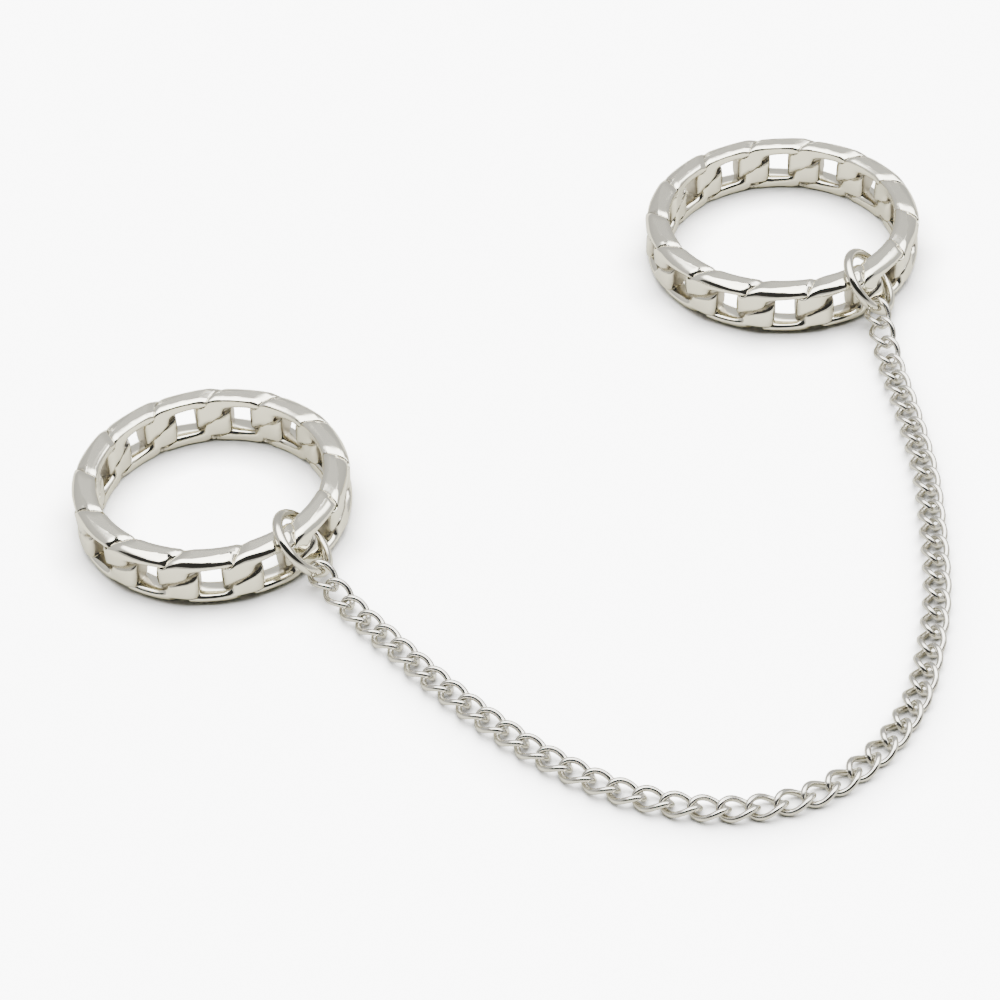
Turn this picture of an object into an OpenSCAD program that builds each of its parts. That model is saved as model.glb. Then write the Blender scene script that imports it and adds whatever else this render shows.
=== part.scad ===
/* [Bands] */
// Inner diameter of the left band, which is the finger it fits
left_bore_d = 17.3; // [17.1:0.1:17.5]
// Inner diameter of the right band, which is the finger it fits
right_bore_d = 18.6; // [18.4:0.1:18.8]
// Height of a band as it lies, which is its width on the finger
band_h = 4.2; // [4.1:0.1:4.3]
// Thickness of the wire that the cast links are drawn with
cast_wire = 1.6; // [1.5:0.05:1.65]
// Twist of a cast link from its middle to its end, in degrees
cast_twist = 16; // [14:0.5:17]

/* [Jump rings] */
// Outer diameter of a jump ring
jump_d = 6; // [5.9:0.1:6.1]
// Thickness of a jump ring's round wire
jump_wire = 0.8; // [0.7:0.05:0.8]

/* [Chain] */
// Length of a chain link before its ends are turned
link_l = 3.08; // [3.06:0.01:3.1]
// Width of a chain link before its ends are turned
link_w = 2.15; // [2.1:0.01:2.2]
// Thickness of a chain link's wire
link_wire = 0.42; // [0.38:0.01:0.43]
// Turn of a chain link from its middle to its end, in degrees
link_turn = 48; // [47:1:50]

/* [Hidden] */
plated = [0.80, 0.80, 0.79];
chain_plated = [0.76, 0.76, 0.75];

// Where the two bands lie on the floor, seen from above
left_at = [-23.65, -1.7];
right_at = [23.05, 26.95];

// The cast links of both bands, as shares of the space from link to link
cast_wall = 1.7;
cast_out = 0.83;
cast_in = 0.32;
cast_half_out = 2.2;
cast_half_in = 1.05;
cast_shift = -0.14;
cast_corner = 4;
cast_edge = 2.3;
cast_sides = 12;
cast_section = 8;
left_links = 13;
right_links = 14;
left_phase = 21.5;
right_phase = 8.1;

// A jump ring's place round its band, how far past the wall's middle it lies
// and how high, and the way it leans
left_hang = [-46.8, 0.71, 2.865];
right_hang = [-54.6, 0.45, 2.887];
left_lean = [49.3, 1.5];
right_lean = [49.2, -13.3];

// Where the chain holds each jump ring, as degrees up from its lowest point
left_hold = 50;
right_hold = 60;

// The chain's route over the floor from left to right, seen from above
route = [
    [-13.0, -14.6], [-9.6, -19.3], [-6.4, -23.6], [-2.4, -28.3],
    [2.0, -32.4], [6.9, -35.5], [12.7, -37.0], [18.4, -36.1],
    [23.2, -32.6], [26.5, -27.7], [28.4, -22.1], [29.7, -16.2],
    [30.4, -9.0], [30.7, -3.0], [30.4, 4.0], [29.9, 10.0]
];
route_z = 0.6;
route_steps = 24;
link_pitch = 1.98;
link_sides = 12;
link_section = 5;
end_room = 0.5;
floor_gap = 0.02;

// The links near each end roll over, to stand across the jump ring's wire
left_roll = 6;
right_roll = -8;
roll_links = 6;

function unit(v) = v / norm(v);

function mid_r(bore_d) = (bore_d + cast_wall) / 2;

// The faces of a ring of sections, each a ring of points
function ring_faces(count, section, first = 0) =
    [for (i = [0:count - 1], j = [0:section - 1])
        let (
            a = first + i * section + j,
            b = first + i * section + (j + 1) % section,
            c = first + ((i + 1) % count) * section + (j + 1) % section,
            d = first + ((i + 1) % count) * section + j
        )
        each [[a, b, c], [a, c, d]]];

// A circle's cosine or sine, with the circle's corners filled by the power
function filled(x, power) = sign(x) * pow(abs(x), 2 / power);

// One point of a cast link: t runs round the link and u round its wire.
// The link is bent round the band and twists about the band's own line.
function cast_point(t, u, pitch, r) =
    let (
        side = filled(cos(u), cast_edge),
        reach = pitch * (cast_out + cast_in + (cast_out - cast_in) * side) / 2,
        half = (cast_half_out + cast_half_in + (cast_half_out - cast_half_in) * side) / 2,
        along = reach * filled(cos(t), cast_corner),
        across = half * filled(sin(t), cast_corner),
        over = cast_wire / 2 * filled(sin(u), cast_edge),
        turn = -cast_twist * along / (cast_out * pitch),
        out = r + cast_shift + across * sin(turn) + over * cos(turn),
        up = across * cos(turn) - over * sin(turn),
        angle = along / r * 180 / PI
    )
    [out * cos(angle), out * sin(angle), band_h / 2 + up];

module cast_link(pitch, r) {
    rings = [for (i = [0:cast_sides - 1])
        [for (j = [0:cast_section - 1])
            cast_point(i * 360 / cast_sides, (j + 0.5) * 360 / cast_section, pitch, r)]];
    polyhedron(points = [for (r = rings) each r], faces = ring_faces(cast_sides, cast_section));
}

// A band is its overlapping links made one, ground flat on both rims, and
// bored true for the finger
module band(bore_d, links, phase) {
    r = mid_r(bore_d);
    pitch = 2 * PI * r / links;
    difference() {
        resize([0, 0, band_h])
            intersection() {
                union()
                    for (i = [0:links - 1])
                        rotate([0, 0, phase + i * 360 / links])
                            cast_link(pitch, r);
                cylinder(h = band_h, r = 2 * r, $fn = 6);
            }
        translate([0, 0, -1])
            cylinder(h = band_h + 2, d = bore_d, $fn = 96);
    }
}

module band_left() {
    color(plated)
        translate([left_at[0], left_at[1], 0])
            band(left_bore_d, left_links, left_phase);
}

module band_right() {
    color(plated)
        translate([right_at[0], right_at[1], 0])
            band(right_bore_d, right_links, right_phase);
}

// The centre of a jump ring, from its band's place and the way it hangs
function jump_at(band_at, bore_d, hang) =
    let (out = mid_r(bore_d) + hang[1])
    [band_at[0] + out * cos(hang[0]), band_at[1] + out * sin(hang[0]), hang[2]];

// A point on a jump ring's middle line, turned up from its lowest point
function jump_point(at, lean, up) =
    let (
        r = (jump_d - jump_wire) / 2,
        down = [cos(lean[0]) * cos(lean[1]), cos(lean[0]) * sin(lean[1]), -sin(lean[0])],
        level = [sin(lean[1]), -cos(lean[1]), 0]
    )
    at + r * (cos(up) * down + sin(up) * level);

module jump_ring(at, lean) {
    color(plated)
        translate(at)
            rotate([0, lean[0], lean[1]])
                rotate_extrude($fn = 96)
                    translate([(jump_d - jump_wire) / 2, 0])
                        circle(d = jump_wire, $fn = 32);
}

module jump_ring_left() {
    jump_ring(jump_at(left_at, left_bore_d, left_hang), left_lean);
}

module jump_ring_right() {
    jump_ring(jump_at(right_at, right_bore_d, right_hang), right_lean);
}

// The whole route: the two places held, and the points between them
held_left = jump_point(jump_at(left_at, left_bore_d, left_hang), left_lean, left_hold);
held_right = jump_point(jump_at(right_at, right_bore_d, right_hang), right_lean, right_hold);
inner_route = [for (p = route) [p[0], p[1], route_z]];
whole_route = [held_left, each inner_route, held_right];

function route_point(i) =
    let (last = len(whole_route) - 1)
    i < 0 ? 2 * whole_route[0] - whole_route[1]
    : i > last ? 2 * whole_route[last] - whole_route[last - 1]
    : whole_route[i];

// A smooth curve from the route's point i to the next, which passes through both
function smooth(i, u) =
    let (
        a = route_point(i - 1),
        b = route_point(i),
        c = route_point(i + 1),
        d = route_point(i + 2)
    )
    (2 * b + (c - a) * u + (2 * a - 5 * b + 4 * c - d) * u * u + (3 * b - a - 3 * c + d) * u * u * u) / 2;

fine_route = [
    for (i = [0:len(whole_route) - 2], k = [0:route_steps - 1]) smooth(i, k / route_steps),
    held_right
];
distances = [
    for (i = 0, s = 0; i < len(fine_route); i = i + 1,
        s = i < len(fine_route) ? s + norm(fine_route[i] - fine_route[i - 1]) : s) s
];
route_length = distances[len(distances) - 1];
route_table = [for (axis = [0:2]) [for (i = [0:len(fine_route) - 1]) [distances[i], fine_route[i][axis]]]];

function route_at(s) = [for (axis = [0:2]) lookup(s, route_table[axis])];

// Whole links share the route evenly
chain_length = route_length - 2 * end_room;
chain_links = round(chain_length / link_pitch) + 1;
chain_step = chain_length / (chain_links - 1);

function link_roll(i) =
    left_roll * max(0, 1 - i / roll_links)
    + right_roll * max(0, 1 - (chain_links - 1 - i) / roll_links);

// One point of a link's middle line, an oval whose ends are turned
function link_line(t) =
    let (
        along = (link_l - link_wire) / 2 * cos(t),
        across = (link_w - link_wire) / 2 * sin(t),
        turn = -link_turn * cos(t)
    )
    [along, across * cos(turn), across * sin(turn)];

// One point on the link's wire
function link_point(t, u) =
    let (
        turn = -link_turn * cos(t),
        ahead = unit(link_line(t + 1) - link_line(t - 1)),
        face = [0, -sin(turn), cos(turn)],
        out = unit(cross(ahead, face)),
        over = cross(out, ahead)
    )
    link_line(t) + link_wire / 2 * (cos(u) * out + sin(u) * over);

// A link's own directions on the route: along it, across it and up
function link_axes(i) =
    let (
        s = end_room + i * chain_step,
        ahead = unit(route_at(s + chain_step / 2) - route_at(s - chain_step / 2)),
        across = unit(cross([0, 0, 1], ahead)),
        up = cross(ahead, across),
        roll = link_roll(i)
    )
    [ahead, cos(roll) * across + sin(roll) * up, cos(roll) * up - sin(roll) * across];

function placed(p, axes) = p[0] * axes[0] + p[1] * axes[1] + p[2] * axes[2];

// A link's points in place, lifted where it would sink into the floor
function chain_link_points(i) =
    let (
        axes = link_axes(i),
        at = route_at(end_room + i * chain_step),
        lowest = at[2] + min([for (k = [0:23]) placed(link_line(k * 15), axes)[2]]) - link_wire / 2,
        lift = max(0, floor_gap - lowest)
    )
    [for (j = [0:link_sides - 1], k = [0:link_section - 1])
        at + [0, 0, lift] + placed(link_point(j * 360 / link_sides, k * 360 / link_section), axes)];

// Every link of the chain, each one loose in its neighbours
module chain() {
    color(chain_plated)
        polyhedron(
            points = [for (i = [0:chain_links - 1]) each chain_link_points(i)],
            faces = [for (i = [0:chain_links - 1])
                each ring_faces(link_sides, link_section, i * link_sides * link_section)]
        );
}

band_left();
band_right();
jump_ring_left();
jump_ring_right();
chain();
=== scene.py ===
import math

import bmesh
import bpy
from mathutils import Matrix, Vector


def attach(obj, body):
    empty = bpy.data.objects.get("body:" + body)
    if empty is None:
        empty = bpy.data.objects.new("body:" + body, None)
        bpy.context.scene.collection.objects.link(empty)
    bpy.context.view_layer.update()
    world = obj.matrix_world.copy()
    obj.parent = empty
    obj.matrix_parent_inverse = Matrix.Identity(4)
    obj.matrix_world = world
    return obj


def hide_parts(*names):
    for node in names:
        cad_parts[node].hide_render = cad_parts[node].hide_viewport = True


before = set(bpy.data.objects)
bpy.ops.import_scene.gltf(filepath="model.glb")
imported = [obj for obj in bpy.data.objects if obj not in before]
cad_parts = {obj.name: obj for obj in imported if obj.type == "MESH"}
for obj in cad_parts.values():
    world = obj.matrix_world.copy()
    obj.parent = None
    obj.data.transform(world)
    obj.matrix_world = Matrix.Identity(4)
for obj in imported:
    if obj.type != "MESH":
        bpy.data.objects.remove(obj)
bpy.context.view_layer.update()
millimetre = 0.001


# Small helpers

def filled(x, power):
    # a circle's cosine or sine, with the circle's corners filled by the power
    return math.copysign(abs(x) ** (2 / power), x)


def softLimit(x, limit, blend):
    # x, held below the limit, with a rounded turn as wide as the blend
    if x <= limit - blend:
        return x
    if x >= limit + blend:
        return limit
    return x - (x - limit + blend) ** 2 / (4 * blend)


def ramp(x, start, end):
    # 0 before the start and 1 past the end, smooth between
    share = min(1.0, max(0.0, (x - start) / (end - start)))
    return share * share * (3 - 2 * share)


def linearColour(hexText):
    # an sRGB hex colour as the linear colour that shaders take
    channels = [int(hexText[i:i + 2], 16) / 255 for i in (1, 3, 5)]
    linear = [c / 12.92 if c <= 0.04045 else ((c + 0.055) / 1.055) ** 2.4 for c in channels]
    return (*linear, 1.0)


def addNode(tree, kind, inputs=None, **settings):
    # one shader node, with its settings, its values and its links
    node = tree.nodes.new(kind)
    for name, value in settings.items():
        setattr(node, name, value)
    for name, value in (inputs or {}).items():
        if isinstance(value, bpy.types.NodeSocket):
            tree.links.new(value, node.inputs[name])
        else:
            node.inputs[name].default_value = value
    return node


def wireLoop(around, section):
    # a closed loop of wire: a circle spun once round, 2 from the middle and 1 thick
    bm = bmesh.new()
    made = bmesh.ops.create_circle(bm, segments=section, radius=1)
    bmesh.ops.rotate(
        bm, verts=made["verts"], cent=(0, 0, 0), matrix=Matrix.Rotation(math.pi / 2, 3, "X"),
    )
    bmesh.ops.translate(bm, verts=made["verts"], vec=(2, 0, 0))
    bmesh.ops.spin(
        bm, geom=bm.verts[:] + bm.edges[:], cent=(0, 0, 0), axis=(0, 0, 1),
        dvec=(0, 0, 0), angle=2 * math.pi, steps=around, use_merge=True, use_duplicate=False,
    )
    bmesh.ops.remove_doubles(bm, verts=bm.verts[:], dist=1e-5)
    bmesh.ops.recalc_face_normals(bm, faces=bm.faces[:])
    return bm


def loopAngles(co):
    # where a point of wireLoop lies round the loop and round its wire
    return math.atan2(co.y, co.x), math.atan2(co.z, math.hypot(co.x, co.y) - 2)


def evenTurns(wide, high, power, steps=720):
    # angles that space points evenly along a filled oval, one for each step of a full turn
    angles = [2 * math.pi * i / steps for i in range(steps + 1)]
    points = [(wide * filled(math.cos(a), power), high * filled(math.sin(a), power)) for a in angles]
    lengths = [0.0]
    for (x0, y0), (x1, y1) in zip(points, points[1:]):
        lengths.append(lengths[-1] + math.hypot(x1 - x0, y1 - y0))
    turns = []
    i = 0
    for step in range(steps + 1):
        reached = lengths[-1] * step / steps
        while i < steps - 1 and lengths[i + 1] < reached:
            i += 1
        share = (reached - lengths[i]) / (lengths[i + 1] - lengths[i])
        turns.append(angles[i] + share * (angles[i + 1] - angles[i]))
    return turns


def evenTurn(turns, angle):
    # an even angle round a circle, as the angle that is even round the filled oval
    place = (angle / (2 * math.pi)) % 1 * (len(turns) - 1)
    i = min(int(place), len(turns) - 2)
    return turns[i] + (place - i) * (turns[i + 1] - turns[i])


def addCopy(bm, source, matrix):
    # the source mesh, moved by the matrix, joined into bm
    mesh = bpy.data.meshes.new("copy")
    source.to_mesh(mesh)
    mesh.transform(matrix)
    bm.from_mesh(mesh)
    bpy.data.meshes.remove(mesh)


def finishPiece(name, bm, material, node):
    # the bmesh, in millimetres, becomes a smooth piece that stands for the node
    bmesh.ops.scale(bm, vec=(millimetre, millimetre, millimetre), verts=bm.verts[:])
    mesh = bpy.data.meshes.new(name)
    bm.to_mesh(mesh)
    bm.free()
    mesh.polygons.foreach_set("use_smooth", [True] * len(mesh.polygons))
    mesh.materials.append(material)
    piece = bpy.data.objects.new(name, mesh)
    bpy.context.scene.collection.objects.link(piece)
    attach(piece, "root")
    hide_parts(node)
    print(name, len(mesh.polygons), "faces")
    return piece


# Camera, fitted to the rims of both bands

camera = {
    "elevation": 40.632,   # degrees above the floor
    "roll": 3.794,         # degrees that the picture leans
    "distance": 245.461,   # mm from the point aimed at
    "aimedAt": (-1.79, -2.37, 0.0),   # mm
    "lens": 115.345,       # mm
    "sensor": 36,          # mm wide
    "nearest": 10,         # mm from the lens, where it begins to see
}


def makeCamera():
    # level with the floor from left to right, but for the lean
    elevation, roll = math.radians(camera["elevation"]), math.radians(camera["roll"])
    right = Vector((1, 0, 0))
    up = Vector((0, math.sin(elevation), math.cos(elevation)))
    forward = Vector((0, math.cos(elevation), -math.sin(elevation)))
    leanRight = math.cos(roll) * right - math.sin(roll) * up
    leanUp = math.sin(roll) * right + math.cos(roll) * up
    lensData = bpy.data.cameras.new("camera")
    lensData.lens = camera["lens"]
    lensData.sensor_width = camera["sensor"]
    lensData.clip_start = camera["nearest"] * millimetre
    cameraObject = bpy.data.objects.new("camera", lensData)
    place = (Vector(camera["aimedAt"]) - camera["distance"] * forward) * millimetre
    turned = Matrix((leanRight, leanUp, -forward)).transposed().to_4x4()
    cameraObject.matrix_world = Matrix.Translation(place) @ turned
    bpy.context.scene.collection.objects.link(cameraObject)
    bpy.context.scene.camera = cameraObject


makeCamera()
print("camera ready")


# Finishes

def platedMetal(name, values):
    # electroplated silver, polished: a bright mirror, a little warm, softer where it is ground
    # or handled
    material = bpy.data.materials.new(name)
    material.use_nodes = True
    tree = material.node_tree
    shader = tree.nodes["Principled BSDF"]
    where = addNode(tree, "ShaderNodeTexCoord").outputs["Object"]
    cloud = addNode(
        tree, "ShaderNodeTexNoise",
        {"Vector": where, "Scale": 1 / (values["cloudSize"] * millimetre), "Detail": 3.0},
    )
    grain = addNode(
        tree, "ShaderNodeTexNoise",
        {"Vector": where, "Scale": 1 / (values["grainSize"] * millimetre), "Detail": 2.0},
    )
    gloss = addNode(
        tree, "ShaderNodeMapRange",
        {"Value": cloud.outputs["Fac"], "From Min": 0.35, "From Max": 0.7,
         "To Min": values["roughLow"], "To Max": values["roughHigh"]},
    )
    bump = addNode(
        tree, "ShaderNodeBump",
        {"Height": grain.outputs["Fac"], "Strength": values["bump"],
         "Distance": values["bumpDepth"] * millimetre},
    )
    rough = gloss.outputs["Result"]
    if "recessShadeColour" in values:
        # the slits and windows are painted darker, painted shade where shade falls in them; they are
        # also duller, as the polishing wheel doesn't reach them
        recess = addNode(tree, "ShaderNodeAttribute", attribute_name="recess")
        paintedShade = addNode(
            tree, "ShaderNodeMath",
            {0: recess.outputs["Fac"], 1: values["recessShadeShare"]}, operation="MULTIPLY",
        )
        colour = addNode(tree, "ShaderNodeMix", {"Factor": paintedShade.outputs[0]}, data_type="RGBA")
        colour.inputs["A"].default_value = linearColour(values["colour"])
        colour.inputs["B"].default_value = linearColour(values["recessShadeColour"])
        tree.links.new(colour.outputs["Result"], shader.inputs["Base Color"])
        dull = addNode(
            tree, "ShaderNodeMath",
            {0: recess.outputs["Fac"], 1: values["recessRough"]}, operation="MULTIPLY",
        )
        rough = addNode(
            tree, "ShaderNodeMath", {0: rough, 1: dull.outputs[0]}, operation="MAXIMUM",
        ).outputs[0]
    else:
        shader.inputs["Base Color"].default_value = linearColour(values["colour"])
    if "rimRough" in values:
        # the rims lie level at the band's top and bottom
        height = addNode(tree, "ShaderNodeSeparateXYZ", {"Vector": where}).outputs["Z"]
        middle = values["rimHeight"] / 2 * millimetre
        start, full = values["rimEdge"]
        fromMiddle = addNode(tree, "ShaderNodeMath", {0: height, 1: middle}, operation="SUBTRACT")
        fromMiddle = addNode(tree, "ShaderNodeMath", {0: fromMiddle.outputs[0]}, operation="ABSOLUTE")
        ground = addNode(
            tree, "ShaderNodeMapRange",
            {"Value": fromMiddle.outputs[0], "From Min": start * middle, "From Max": full * middle,
             "To Min": 0.0, "To Max": values["rimRough"]},
        )
        rough = addNode(
            tree, "ShaderNodeMath", {0: rough, 1: ground.outputs["Result"]}, operation="MAXIMUM",
        ).outputs[0]
    tree.links.new(rough, shader.inputs["Roughness"])
    tree.links.new(bump.outputs["Normal"], shader.inputs["Normal"])
    shader.inputs["Metallic"].default_value = 1.0
    return material


bandFinish = {
    "colour": "#E7E3D3",
    # painted shade: the darker colour painted into the slits and windows
    "recessShadeColour": "#A09A8F",   # of slits and windows
    "recessShadeShare": 0.85,  # how much of that colour they take
    "recessRough": 0.38,
    "rimRough": 0.2,      # where the rims are ground
    "rimHeight": 4.2,     # mm from the one ground rim to the other
    "rimEdge": (0.97, 0.995),   # shares of half of that, where the ground finish begins and is full
    "cloudSize": 2.5,     # mm, patches of handling
    "grainSize": 0.25,    # mm, the cast skin under the polish
    "roughLow": 0.05,
    "roughHigh": 0.12,
    "bump": 0.25,
    "bumpDepth": 0.01,    # mm
}
wireFinish = {
    "colour": "#D6D2C4",
    "cloudSize": 2.0,
    "grainSize": 0.2,
    "roughLow": 0.06,
    "roughHigh": 0.14,
    "bump": 0.1,
    "bumpDepth": 0.01,
}
chainFinish = dict(wireFinish, colour="#CFCCC2", roughLow=0.14, roughHigh=0.26)

platedBand = platedMetal("silver_plated_casting", bandFinish)
platedWire = platedMetal("silver_plated_wire", wireFinish)
platedChain = platedMetal("silver_plated_chain", chainFinish)
print("finishes ready")


# Bands, each a ring of cast curb links

bandForm = {
    "height": 4.2,        # mm
    "wall": 1.7,          # mm
    "twist": 16,          # degrees from a link's middle to its end
    "twistShare": 0.34,   # what is left of the twist on the finished outside
    "outside": 1.07,      # mm from the wall's middle to the links' backs
    "reachOut": 0.83,     # shares of the space from link to link
    "reachIn": 0.32,
    "halfOut": 2.5,       # mm up from the band's middle line
    "halfIn": 1.08,
    "corner": 4,          # how square the links and their wire are, 2 is round
    "edge": 5,
    "thinnest": 0.05,     # mm, the least that is left on either side of the wall's middle
    "rimRound": 0.12,     # mm
    "notch": 0.15,        # mm deep, where two links meet on a rim
    "notchWide": 0.68,    # mm of slope down to the notch
    "notchSteep": 0.45,   # and on the notch's other side
    "notchLean": 0.64,    # mm that it runs along the band for each mm through the wall
    "notchFade": (1.3, 2.0),   # mm up from the middle line, where it begins and is full
    "under": 0.8,         # mm that a link goes on down under its neighbour, past the notch
    "underSlope": 2.5,    # and how steeply
    "shoulder": 1.1,      # mm that the outside falls away towards a rim
    "shoulderStart": 1.55,   # mm up from the middle line
    "lobe": 0.7,          # the same where a link's end lies over its neighbour
    "lobeStart": 1.2,
    "lobeRun": (-0.35, 0.5),   # from the one to the other, in spaces from link to link
    "boreShoulder": 0.54,      # the same inside
    "boreStart": 1.87,
    "slit": 0.45,         # mm deep, the slit between two links on the outside
    "slitStart": 0.45,    # its depth at its start, as a share of that at the window
    "slitWide": 0.43,     # mm from the middle of a slit to its lip, at its end
    "slitNarrow": 0.24,   # and at its start
    "slitLean": 0.555,    # how far the slit climbs for each mm round the band
    "slitRun": (0.17, 0.36),    # where a slit begins, in spaces from link to link
    "slitOpens": (0.45, 0.68),  # and where it goes from narrow to wide
    "slitTop": (1.95, 1.55),    # mm up, so that it ends below the rim
    "sink": 0.3,          # mm of slope by which a link sinks under its neighbour's edge
    "sinkTop": (2.1, 1.9),      # mm up, so that this ends below the rim
    "sinkJoint": (1.15, 1.65),  # mm up, where that edge turns to meet the notch
    "boreSlit": 0.38,     # the same slits inside, as a share of those outside
    "boreSlitLeast": 0.4,       # what is left of that halfway between the windows
    "boreSlitRun": 0.9,   # mm from there to its full depth
    "sill": 0.16,         # mm that a window's sill falls away, inward and outward
    "paintedShadeFace": (0.95, 0.6),   # shares of the wall's half, where a window's painted shade begins and is full
    "paintedShadeUp": (1.15, 0.85),    # and mm up
    "around": 68,         # parts round a link
    "section": 24,        # and round its wire
}
# Where the faces of a cast link are cut finer
castDetail = {
    "reaches": (0.42, 0.14),    # mm from a slit or a notch, at the first cut and at the second
    "notchFrom": 1.7,     # mm up
    "notchPast": 0.7,     # how much of the reach counts on a notch's far side
    "slitFrom": 0.2,      # in spaces from link to link
    "slitTo": 1.9,        # mm up
    "slitPast": 0.5,
    "shoulderFrom": 1.2,  # mm up, at the first cut only
    "shoulderFace": 0.5,  # share of the wall's half
    "onFace": 0.6,        # share of the wall's half, for slits and rim rows
    "row": (1.6, 2.12),   # mm up, where rows of edges are cut once more along a rim
    "rowRise": 0.05,      # mm, the least height of such an edge
    "merged": 0.004,      # mm, points closer than this become one
    "mergeOrder": (1.0, 3.7, 13.9),   # the direction in which they are put in order for that
    "linkSize": 3.8,      # mm, half a link's length, for points spaced evenly round it
    "wireSize": (0.7, 0.9),     # mm, half its wire's width and thickness, for the same
}
# Each band's place on the floor and bore in mm, its links, and the first link's place in degrees
bands = {
    "band_left": {"at": (-23.65, -1.7), "bore": 17.3, "links": 13, "phase": 21.5},
    "band_right": {"at": (23.05, 26.95), "bore": 18.6, "links": 14, "phase": 8.1},
}
linkTurns = evenTurns(castDetail["linkSize"], bandForm["halfOut"], bandForm["corner"])
wireTurns = evenTurns(*castDetail["wireSize"], bandForm["edge"])


def castShape(co, pitch):
    # a point of wireLoop as a point of one cast link, laid out flat: along the band, up, and its
    # place through the wall from -1 inside to 1 outside
    form = bandForm
    t, u = loopAngles(co)
    t, u = evenTurn(linkTurns, t), evenTurn(wireTurns, u)
    side = filled(math.cos(u), form["edge"])
    face = filled(math.sin(u), form["edge"])
    spread = form["reachOut"] - form["reachIn"]
    reach = pitch * (form["reachOut"] + form["reachIn"] + spread * side) / 2
    sill = form["halfIn"] + form["sill"] * face * face
    half = (form["halfOut"] + sill + (form["halfOut"] - sill) * side) / 2
    along = reach * filled(math.cos(t), form["corner"])
    across = half * filled(math.sin(t), form["corner"])
    turn = math.radians(form["twist"]) * along / (form["reachOut"] * pitch)
    up = across * math.cos(turn) + form["outside"] * face * math.sin(turn)
    return along, up, face


def slitAway(along, up, pitch, facing):
    # how far a point lies from the slit's middle, less than 0 on the neighbour's side of it
    side = math.copysign(1, along)
    lean = bandForm["slitLean"]
    return -side * (facing * up - lean * (along - side * pitch / 2)) / math.hypot(1, lean)


def slitDepth(along, up, pitch, facing):
    # how deep a slit is here, and how far a link has sunk beyond it
    form = bandForm
    away = slitAway(along, up, pitch, facing)
    opened = ramp(abs(along) / pitch, *form["slitOpens"])
    wide = form["slitNarrow"] + (form["slitWide"] - form["slitNarrow"]) * opened
    if away > 0:
        deep = form["slit"] * max(0.0, 1 - away / wide) ** 2
        deep *= form["slitStart"] + (1 - form["slitStart"]) * opened
        return deep * ramp(abs(up), *form["slitTop"]) * ramp(abs(along) / pitch, *form["slitRun"])
    # beyond the slit a link sinks under its neighbour, from the neighbour's edge on
    height = max(0.0, 1 - (abs(up) / form["halfOut"]) ** form["corner"])
    edge = pitch * (1 - form["reachOut"] * height ** (1 / form["corner"]))
    joint = pitch / 2 - form["notchLean"] * (form["outside"] if facing > 0 else form["wall"] / 2)
    edge += max(0.0, joint - edge) * ramp(abs(up), *form["sinkJoint"])
    return form["slit"] * ramp(abs(up), *form["sinkTop"]) * ramp(abs(along), edge, edge + form["sink"])


def shoulderDrop(along, up, pitch, facing):
    # how far a link falls away towards a rim: a quick turn on a strand, a broader one on a lobe
    form = bandForm
    start, deep = form["boreStart"], form["boreShoulder"]
    if facing > 0:
        lobe = ramp(-along * math.copysign(1, up) / pitch, *form["lobeRun"])
        start = form["shoulderStart"] + (form["lobeStart"] - form["shoulderStart"]) * lobe
        deep = form["shoulder"] + (form["lobe"] - form["shoulder"]) * lobe
    # a quarter of an oval, stopped short of its upright end
    share = min(0.98, max(0.0, (abs(up) - start) / (form["height"] / 2 - start)))
    return deep * (1 - math.sqrt(1 - share * share))


def castDepth(along, up, pitch, face):
    # how far a link's point lies from the wall's middle, less than 0 inward, and how deep in a slit
    form = bandForm
    facing = math.copysign(1, face)
    slit = slitDepth(along, up, pitch, facing)
    level = math.copysign(softLimit(abs(up), form["height"] / 2, form["rimRound"]), up)
    shoulder = shoulderDrop(along, level, pitch, facing)
    turn = math.radians(form["twist"]) * along / (form["reachOut"] * pitch)
    if facing > 0:
        depth = form["outside"] - form["twistShare"] * level * math.sin(turn) - slit - shoulder
    else:
        # the bore has left the slits inside shallow, most of all halfway between the windows
        if slit < form["slit"]:
            least = form["boreSlitLeast"]
            run = abs(abs(along) - pitch / 2)
            slit *= form["boreSlit"] * (least + (1 - least) * ramp(run, 0.0, form["boreSlitRun"]))
        depth = form["wall"] / 2 - slit - shoulder
    return face * max(form["thinnest"], depth), slit


def notchInside(along, out, pitch):
    # how far a point lies from the notch between two links, less than 0 beyond it
    return pitch / 2 - abs(along + bandForm["notchLean"] * out)


def castPoint(co, pitch, middle):
    # a link's point in place on the band, and how deep in a slit or a window it lies
    form = bandForm
    along, up, face = castShape(co, pitch)
    out, slit = castDepth(along, up, pitch, face)
    # painted shade: how far in a window or a slit a point lies, which darkens its colour there
    recess = ramp(abs(face), *form["paintedShadeFace"]) * ramp(abs(up), *form["paintedShadeUp"])
    recess = max(recess, math.sqrt(min(1.0, slit / form["slit"])))
    # both links slope down to the notch, and each goes on down under the other
    inside = notchInside(along, out, pitch)
    wide = form["notchWide"] if along * up < 0 else form["notchSteep"]
    if inside > 0:
        notch = form["notch"] * max(0.0, 1 - inside / wide)
    else:
        notch = min(form["under"], form["notch"] - form["underSlope"] * inside)
    level = softLimit(abs(up), form["height"] / 2, form["rimRound"])
    level -= notch * ramp(level, *form["notchFade"])
    radius = middle + out
    angle = along / middle
    height = form["height"] / 2 + math.copysign(level, up)
    return (radius * math.cos(angle), radius * math.sin(angle), height), recess


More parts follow.
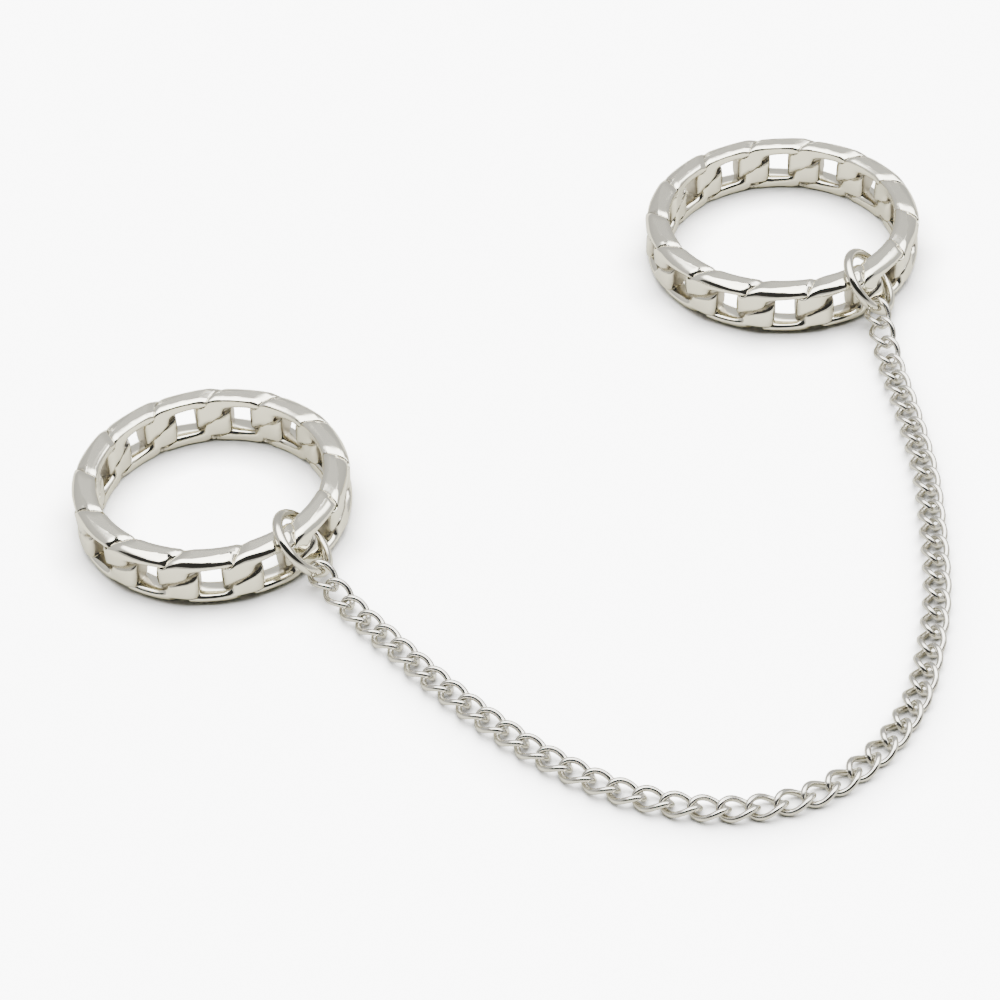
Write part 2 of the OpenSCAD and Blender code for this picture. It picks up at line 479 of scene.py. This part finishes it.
def nearDetail(co, pitch, reach):
    # whether a face of a link lies within reach of a slit or a notch, or is a shoulder's
    detail = castDetail
    along, up, face = castShape(co, pitch)
    if abs(up) > detail["notchFrom"]:
        inside = notchInside(along, castDepth(along, up, pitch, face)[0], pitch)
        if -detail["notchPast"] * reach < inside < reach:
            return True
    shoulder = abs(face) > detail["shoulderFace"] and abs(up) > detail["shoulderFrom"]
    if shoulder and reach == max(detail["reaches"]):
        return True
    if abs(along) < detail["slitFrom"] * pitch or abs(up) > detail["slitTo"]:
        return False
    away = slitAway(along, up, pitch, math.copysign(1, face))
    return -detail["slitPast"] * reach < away < reach and abs(face) > detail["onFace"]


def castLink(pitch, middle):
    # one link, with its faces cut finer, and finer again, towards the slits and notches, and with
    # one more row along each rim
    link = wireLoop(bandForm["around"], bandForm["section"])
    for reach in castDetail["reaches"]:
        fine = set()
        for face in link.faces:
            if nearDetail(face.calc_center_median(), pitch, reach):
                fine.update(face.edges)
        bmesh.ops.subdivide_edges(link, edges=list(fine), cuts=1, use_grid_fill=True)
    rows = []
    low, high = castDetail["row"]
    for edge in link.edges:
        (along0, up0, face0), (along1, up1, face1) = [castShape(vert.co, pitch) for vert in edge.verts]
        steep = abs(up0 - up1) > max(castDetail["rowRise"], abs(along0 - along1))
        onFace = abs(face0 + face1) / 2 > castDetail["onFace"]
        if steep and onFace and low < (abs(up0) + abs(up1)) / 2 < high:
            rows.append(edge)
    bmesh.ops.subdivide_edges(link, edges=rows, cuts=1, use_grid_fill=True)
    layer = link.verts.layers.float.new("recess")
    for vert in link.verts:
        vert.co, vert[layer] = castPoint(vert.co, pitch, middle)
    # the points are put in order first, so that each run merges the same ones
    link.verts.sort(key=lambda vert: vert.co.dot(castDetail["mergeOrder"]))
    bmesh.ops.remove_doubles(link, verts=link.verts[:], dist=castDetail["merged"])
    bmesh.ops.recalc_face_normals(link, faces=link.faces[:])
    return link


def makeBand(name, place):
    # one band: its cast link, copied all the way round
    middle = (place["bore"] + bandForm["wall"]) / 2
    pitch = 2 * math.pi * middle / place["links"]
    link = castLink(pitch, middle)
    band = bmesh.new()
    band.verts.layers.float.new("recess")
    for i in range(place["links"]):
        turn = Matrix.Rotation(math.radians(place["phase"] + i * 360 / place["links"]), 4, "Z")
        addCopy(band, link, Matrix.Translation((*place["at"], 0)) @ turn)
    link.free()
    return finishPiece(name + "_cast", band, platedBand, name)


castBands = {name: makeBand(name, place) for name, place in bands.items()}
print("bands ready")


# Jump rings of round wire

jumpRing = {
    "across": 6.0,        # mm outside
    "wire": 0.8,          # mm
    "room": 0.03,         # mm between the wire and the band
    "around": 96,         # parts round the ring
    "section": 24,        # and round its wire
}
# How each ring hangs: degrees round its band, mm past the wall's middle, mm up, and the degrees by
# which it leans and turns
jumpRings = {
    "jump_ring_left": {
        "band": "band_left", "round": -46.8, "past": 0.71, "up": 2.865, "lean": 49.3, "heading": 1.5,
    },
    "jump_ring_right": {
        "band": "band_right", "round": -54.6, "past": 0.45, "up": 2.887, "lean": 49.2, "heading": -13.3,
    },
}


def jumpCentre(hang):
    # the middle of a jump ring where it hangs
    band = bands[hang["band"]]
    out = (band["bore"] + bandForm["wall"]) / 2 + hang["past"]
    angle = math.radians(hang["round"])
    x, y = band["at"]
    return Vector((x + out * math.cos(angle), y + out * math.sin(angle), hang["up"]))


def jumpPoint(hang, up):
    # a point on the ring's middle line, turned up from its lowest point
    lean, heading, up = math.radians(hang["lean"]), math.radians(hang["heading"]), math.radians(up)
    level = Vector((math.sin(heading), -math.cos(heading), 0))
    out = math.cos(lean)
    down = Vector((out * math.cos(heading), out * math.sin(heading), -math.sin(lean)))
    middle = (jumpRing["across"] - jumpRing["wire"]) / 2
    return jumpCentre(hang) + middle * (math.cos(up) * down + math.sin(up) * level)


def makeJumpRing(name, hang):
    # a closed ring of round wire, leant and turned as it hangs
    ring = wireLoop(jumpRing["around"], jumpRing["section"])
    middle = (jumpRing["across"] - jumpRing["wire"]) / 2
    for vert in ring.verts:
        t, u = loopAngles(vert.co)
        out = middle + jumpRing["wire"] / 2 * math.cos(u)
        vert.co = (out * math.cos(t), out * math.sin(t), jumpRing["wire"] / 2 * math.sin(u))
    lean = Matrix.Rotation(math.radians(hang["lean"]), 4, "Y")
    turn = Matrix.Rotation(math.radians(hang["heading"]), 4, "Z") @ lean
    bmesh.ops.transform(ring, matrix=Matrix.Translation(jumpCentre(hang)) @ turn, verts=ring.verts[:])
    finishPiece(name + "_wire", ring, platedWire, name)


def seatRing(band, hang):
    # the band has a small worn seat where the jump ring's wire would cut into it
    centre = jumpCentre(hang)
    axis = (jumpPoint(hang, 0) - centre).cross(jumpPoint(hang, 90) - centre).normalized()
    middle = (jumpRing["across"] - jumpRing["wire"]) / 2
    room = jumpRing["wire"] / 2 + jumpRing["room"]
    for vert in band.data.vertices:
        off = vert.co / millimetre - centre
        level = off - off.dot(axis) * axis
        if level.length < middle - room or level.length > middle + room:
            continue
        near = centre + middle * level.normalized()
        gap = vert.co / millimetre - near
        if gap.length < room:
            vert.co = (near + room * gap.normalized()) * millimetre


for name, hang in jumpRings.items():
    makeJumpRing(name, hang)
    seatRing(castBands[hang["band"]], hang)
print("jump rings ready")


# The fine curb chain

chainForm = {
    "length": 3.12,       # mm, a link before its ends are turned
    "width": 2.19,        # mm
    "wire": 0.46,         # mm
    "turn": 48,           # degrees from a link's middle to its end
    "pitch": 1.98,        # mm from link to link
    "endRoom": 0.5,       # mm from the jump ring's wire to the last link's middle
    "leftHold": 50,       # degrees up the jump ring from its lowest point
    "rightHold": 60,
    "leftRoll": 6,        # degrees that the end links roll over
    "rightRoll": -8,
    "rollLinks": 6,       # over how many links that roll dies away
    "floorGap": 0.02,     # mm
    "routeHeight": 0.6,   # mm from the floor to the links' middle line
    "routeSteps": 24,     # fine steps between two points of the route
    "around": 40,         # parts round a link
    "section": 12,        # and round its wire
}
# The route over the floor from left to right, mm, seen from above
route = [
    (-13.0, -14.6), (-9.6, -19.3), (-6.4, -23.6), (-2.4, -28.3),
    (2.0, -32.4), (6.9, -35.5), (12.7, -37.0), (18.4, -36.1),
    (23.2, -32.6), (26.5, -27.7), (28.4, -22.1), (29.7, -16.2),
    (30.4, -9.0), (30.7, -3.0), (30.4, 4.0), (29.9, 10.0),
]


def smoothRoute():
    # the route's fine points, and how far along the route each one is
    ends = (jumpPoint(jumpRings["jump_ring_left"], chainForm["leftHold"]),
            jumpPoint(jumpRings["jump_ring_right"], chainForm["rightHold"]))
    inner = [Vector((x, y, chainForm["routeHeight"])) for x, y in route]
    points = [ends[0]] + inner + [ends[1]]
    points = [2 * points[0] - points[1]] + points + [2 * points[-1] - points[-2]]
    fine = []
    for a, b, c, d in zip(points, points[1:], points[2:], points[3:]):
        for step in range(chainForm["routeSteps"]):
            u = step / chainForm["routeSteps"]
            curved = (2 * a - 5 * b + 4 * c - d) * u ** 2 + (3 * b - a - 3 * c + d) * u ** 3
            fine.append((2 * b + (c - a) * u + curved) / 2)
    fine.append(ends[1])
    distances = [0.0]
    for a, b in zip(fine, fine[1:]):
        distances.append(distances[-1] + (b - a).length)
    return fine, distances


def routeAt(fine, distances, s):
    # the point that lies s along the route
    s = min(max(s, 0.0), distances[-1])
    i = max(k for k in range(len(distances) - 1) if distances[k] <= s)
    share = (s - distances[i]) / (distances[i + 1] - distances[i])
    return fine[i].lerp(fine[i + 1], share)


def linkTurn(t):
    # how far a curb link is turned over at t, the one way at its front and the other at its back
    return -math.radians(chainForm["turn"]) * math.cos(t)


def linkLine(t):
    # a link's middle line, an oval whose ends are turned
    along = (chainForm["length"] - chainForm["wire"]) / 2 * math.cos(t)
    across = (chainForm["width"] - chainForm["wire"]) / 2 * math.sin(t)
    turn = linkTurn(t)
    return Vector((along, across * math.cos(turn), across * math.sin(turn)))


def linkPoint(co):
    # a point of wireLoop in place on a link
    t, u = loopAngles(co)
    turn = linkTurn(t)
    aside = 0.02   # radians, to find the wire's direction
    ahead = (linkLine(t + aside) - linkLine(t - aside)).normalized()
    face = Vector((0, -math.sin(turn), math.cos(turn)))
    out = ahead.cross(face).normalized()
    over = out.cross(ahead)
    return linkLine(t) + chainForm["wire"] / 2 * (math.cos(u) * out + math.sin(u) * over)


def makeChain():
    # whole links share the route evenly, and none sinks into the floor
    fine, distances = smoothRoute()
    length = distances[-1] - 2 * chainForm["endRoom"]
    links = round(length / chainForm["pitch"]) + 1
    step = length / (links - 1)
    link = wireLoop(chainForm["around"], chainForm["section"])
    for vert in link.verts:
        vert.co = linkPoint(vert.co)
    bmesh.ops.recalc_face_normals(link, faces=link.faces[:])
    chain = bmesh.new()
    for i in range(links):
        s = chainForm["endRoom"] + i * step
        ahead = routeAt(fine, distances, s + step / 2) - routeAt(fine, distances, s - step / 2)
        ahead.normalize()
        across = Vector((0, 0, 1)).cross(ahead).normalized()
        up = ahead.cross(across)
        roll = math.radians(
            chainForm["leftRoll"] * max(0, 1 - i / chainForm["rollLinks"])
            + chainForm["rightRoll"] * max(0, 1 - (links - 1 - i) / chainForm["rollLinks"])
        )
        rolledAcross = math.cos(roll) * across + math.sin(roll) * up
        rolledUp = math.cos(roll) * up - math.sin(roll) * across
        turned = Matrix((ahead, rolledAcross, rolledUp)).transposed()
        at = routeAt(fine, distances, s)
        lowest = at.z + min((turned @ vert.co).z for vert in link.verts)
        at.z += max(0, chainForm["floorGap"] - lowest)
        addCopy(chain, link, Matrix.Translation(at) @ turned.to_4x4())
    link.free()
    print("chain of", links, "links, one each", round(step, 3), "mm")
    finishPiece("chain_links", chain, platedChain, "chain")


makeChain()
print("chain ready")


# Floor and light

stage = {
    "floor": 3.0,                 # m
    "floorSeen": 3.1,             # the floor as the camera sees it, white paper lit past white
    "floorReflected": "#DAD8CC",  # and as the metal mirrors it
    "shadeReach": 3.5,            # mm, the reach of the painted shadow that the rings throw towards the camera
    "shadePower": 1.3,            # how quickly it deepens
    "skyFull": 20.0,              # the brightness that the sky's colours are shares of
    "panel": 7.4,                 # the brightness of the panel high on the right
    "opening": 0.04,              # and of the dark opening on the camera's side
}
# The tent's brightness by the height that the metal looks up, 0 level and 1 overhead
tentHeights = ((0.0, 0.8), (0.25, 0.8), (0.68, 0.94), (0.76, 1.5), (0.85, 7.5), (1.0, 10.0))
# The soft edges of both parts: the direction, where it begins and where it is full
skyEdges = {
    "panel": (("X", 0.3, 0.38), ("Z", 0.6, 0.72)),
    "opening": (("Y", -0.18, -0.3), ("Z", 0.97, 0.945), ("Z", 0.15, 0.32)),
}


def makeFloor():
    # plain white paper, brighter to the camera than to the metal
    bm = bmesh.new()
    bmesh.ops.create_grid(bm, x_segments=1, y_segments=1, size=stage["floor"] / 2)
    mesh = bpy.data.meshes.new("floor")
    bm.to_mesh(mesh)
    bm.free()
    paper = bpy.data.materials.new("matt_white_paper")
    paper.use_nodes = True
    tree = paper.node_tree
    tree.nodes.remove(tree.nodes["Principled BSDF"])
    seen = addNode(tree, "ShaderNodeLightPath").outputs["Is Camera Ray"]
    # painted shadow: the floor as the camera sees it is darkened near the rings, as if lit from behind
    # and above
    towards = addNode(tree, "ShaderNodeCombineXYZ", {"Y": 0.7, "Z": 0.7})
    shade = addNode(
        tree, "ShaderNodeAmbientOcclusion",
        {"Distance": stage["shadeReach"] * millimetre, "Normal": towards.outputs["Vector"]}, samples=8,
    )
    deep = addNode(
        tree, "ShaderNodeMath", {0: shade.outputs["AO"], 1: stage["shadePower"]}, operation="POWER",
    )
    bright = addNode(
        tree, "ShaderNodeMath", {0: deep.outputs[0], 1: stage["floorSeen"]}, operation="MULTIPLY",
    )
    tone = addNode(tree, "ShaderNodeMix", {"Factor": seen}, data_type="RGBA")
    tone.inputs["A"].default_value = linearColour(stage["floorReflected"])
    tree.links.new(bright.outputs[0], tone.inputs["B"])
    matt = addNode(tree, "ShaderNodeBsdfDiffuse", {"Color": tone.outputs["Result"]})
    tree.links.new(matt.outputs["BSDF"], tree.nodes["Material Output"].inputs["Surface"])
    mesh.materials.append(paper)
    floor = bpy.data.objects.new("floor", mesh)
    bpy.context.scene.collection.objects.link(floor)


def skyGrey(brightness):
    # a brightness as the sky's colour
    share = brightness / stage["skyFull"]
    return share, share, share, 1


def makeSky():
    # a white tent, brightest overhead and to the right, with a dark opening on the camera's side
    world = bpy.data.worlds.new("tent")
    bpy.context.scene.world = world
    world.use_nodes = True
    tree = world.node_tree
    direction = addNode(tree, "ShaderNodeTexCoord").outputs["Generated"]
    parts = addNode(tree, "ShaderNodeSeparateXYZ", {"Vector": direction})
    tent = addNode(tree, "ShaderNodeValToRGB", {"Fac": parts.outputs["Z"]})
    stops = tent.color_ramp.elements
    stops.remove(stops[1])
    for i, (height, brightness) in enumerate(tentHeights):
        stop = stops[0] if i == 0 else stops.new(height)
        stop.position = height
        stop.color = skyGrey(brightness)
    sky = tent.outputs["Color"]
    for part, blend in (("panel", "LIGHTEN"), ("opening", "MIX")):
        share = 1.0
        for axis, start, full in skyEdges[part]:
            edge = addNode(
                tree, "ShaderNodeMapRange",
                {"Value": parts.outputs[axis], "From Min": start, "From Max": full,
                 "To Min": 0.0, "To Max": 1.0},
                interpolation_type="SMOOTHSTEP",
            )
            share = addNode(
                tree, "ShaderNodeMath", {0: share, 1: edge.outputs["Result"]}, operation="MULTIPLY",
            ).outputs[0]
        mixed = addNode(
            tree, "ShaderNodeMix", {"Factor": share}, data_type="RGBA", blend_type=blend,
        )
        tree.links.new(sky, mixed.inputs["A"])
        mixed.inputs["B"].default_value = skyGrey(stage[part])
        sky = mixed.outputs["Result"]
    background = tree.nodes["Background"]
    tree.links.new(sky, background.inputs["Color"])
    background.inputs["Strength"].default_value = stage["skyFull"]


makeFloor()
makeSky()
print("stage ready")
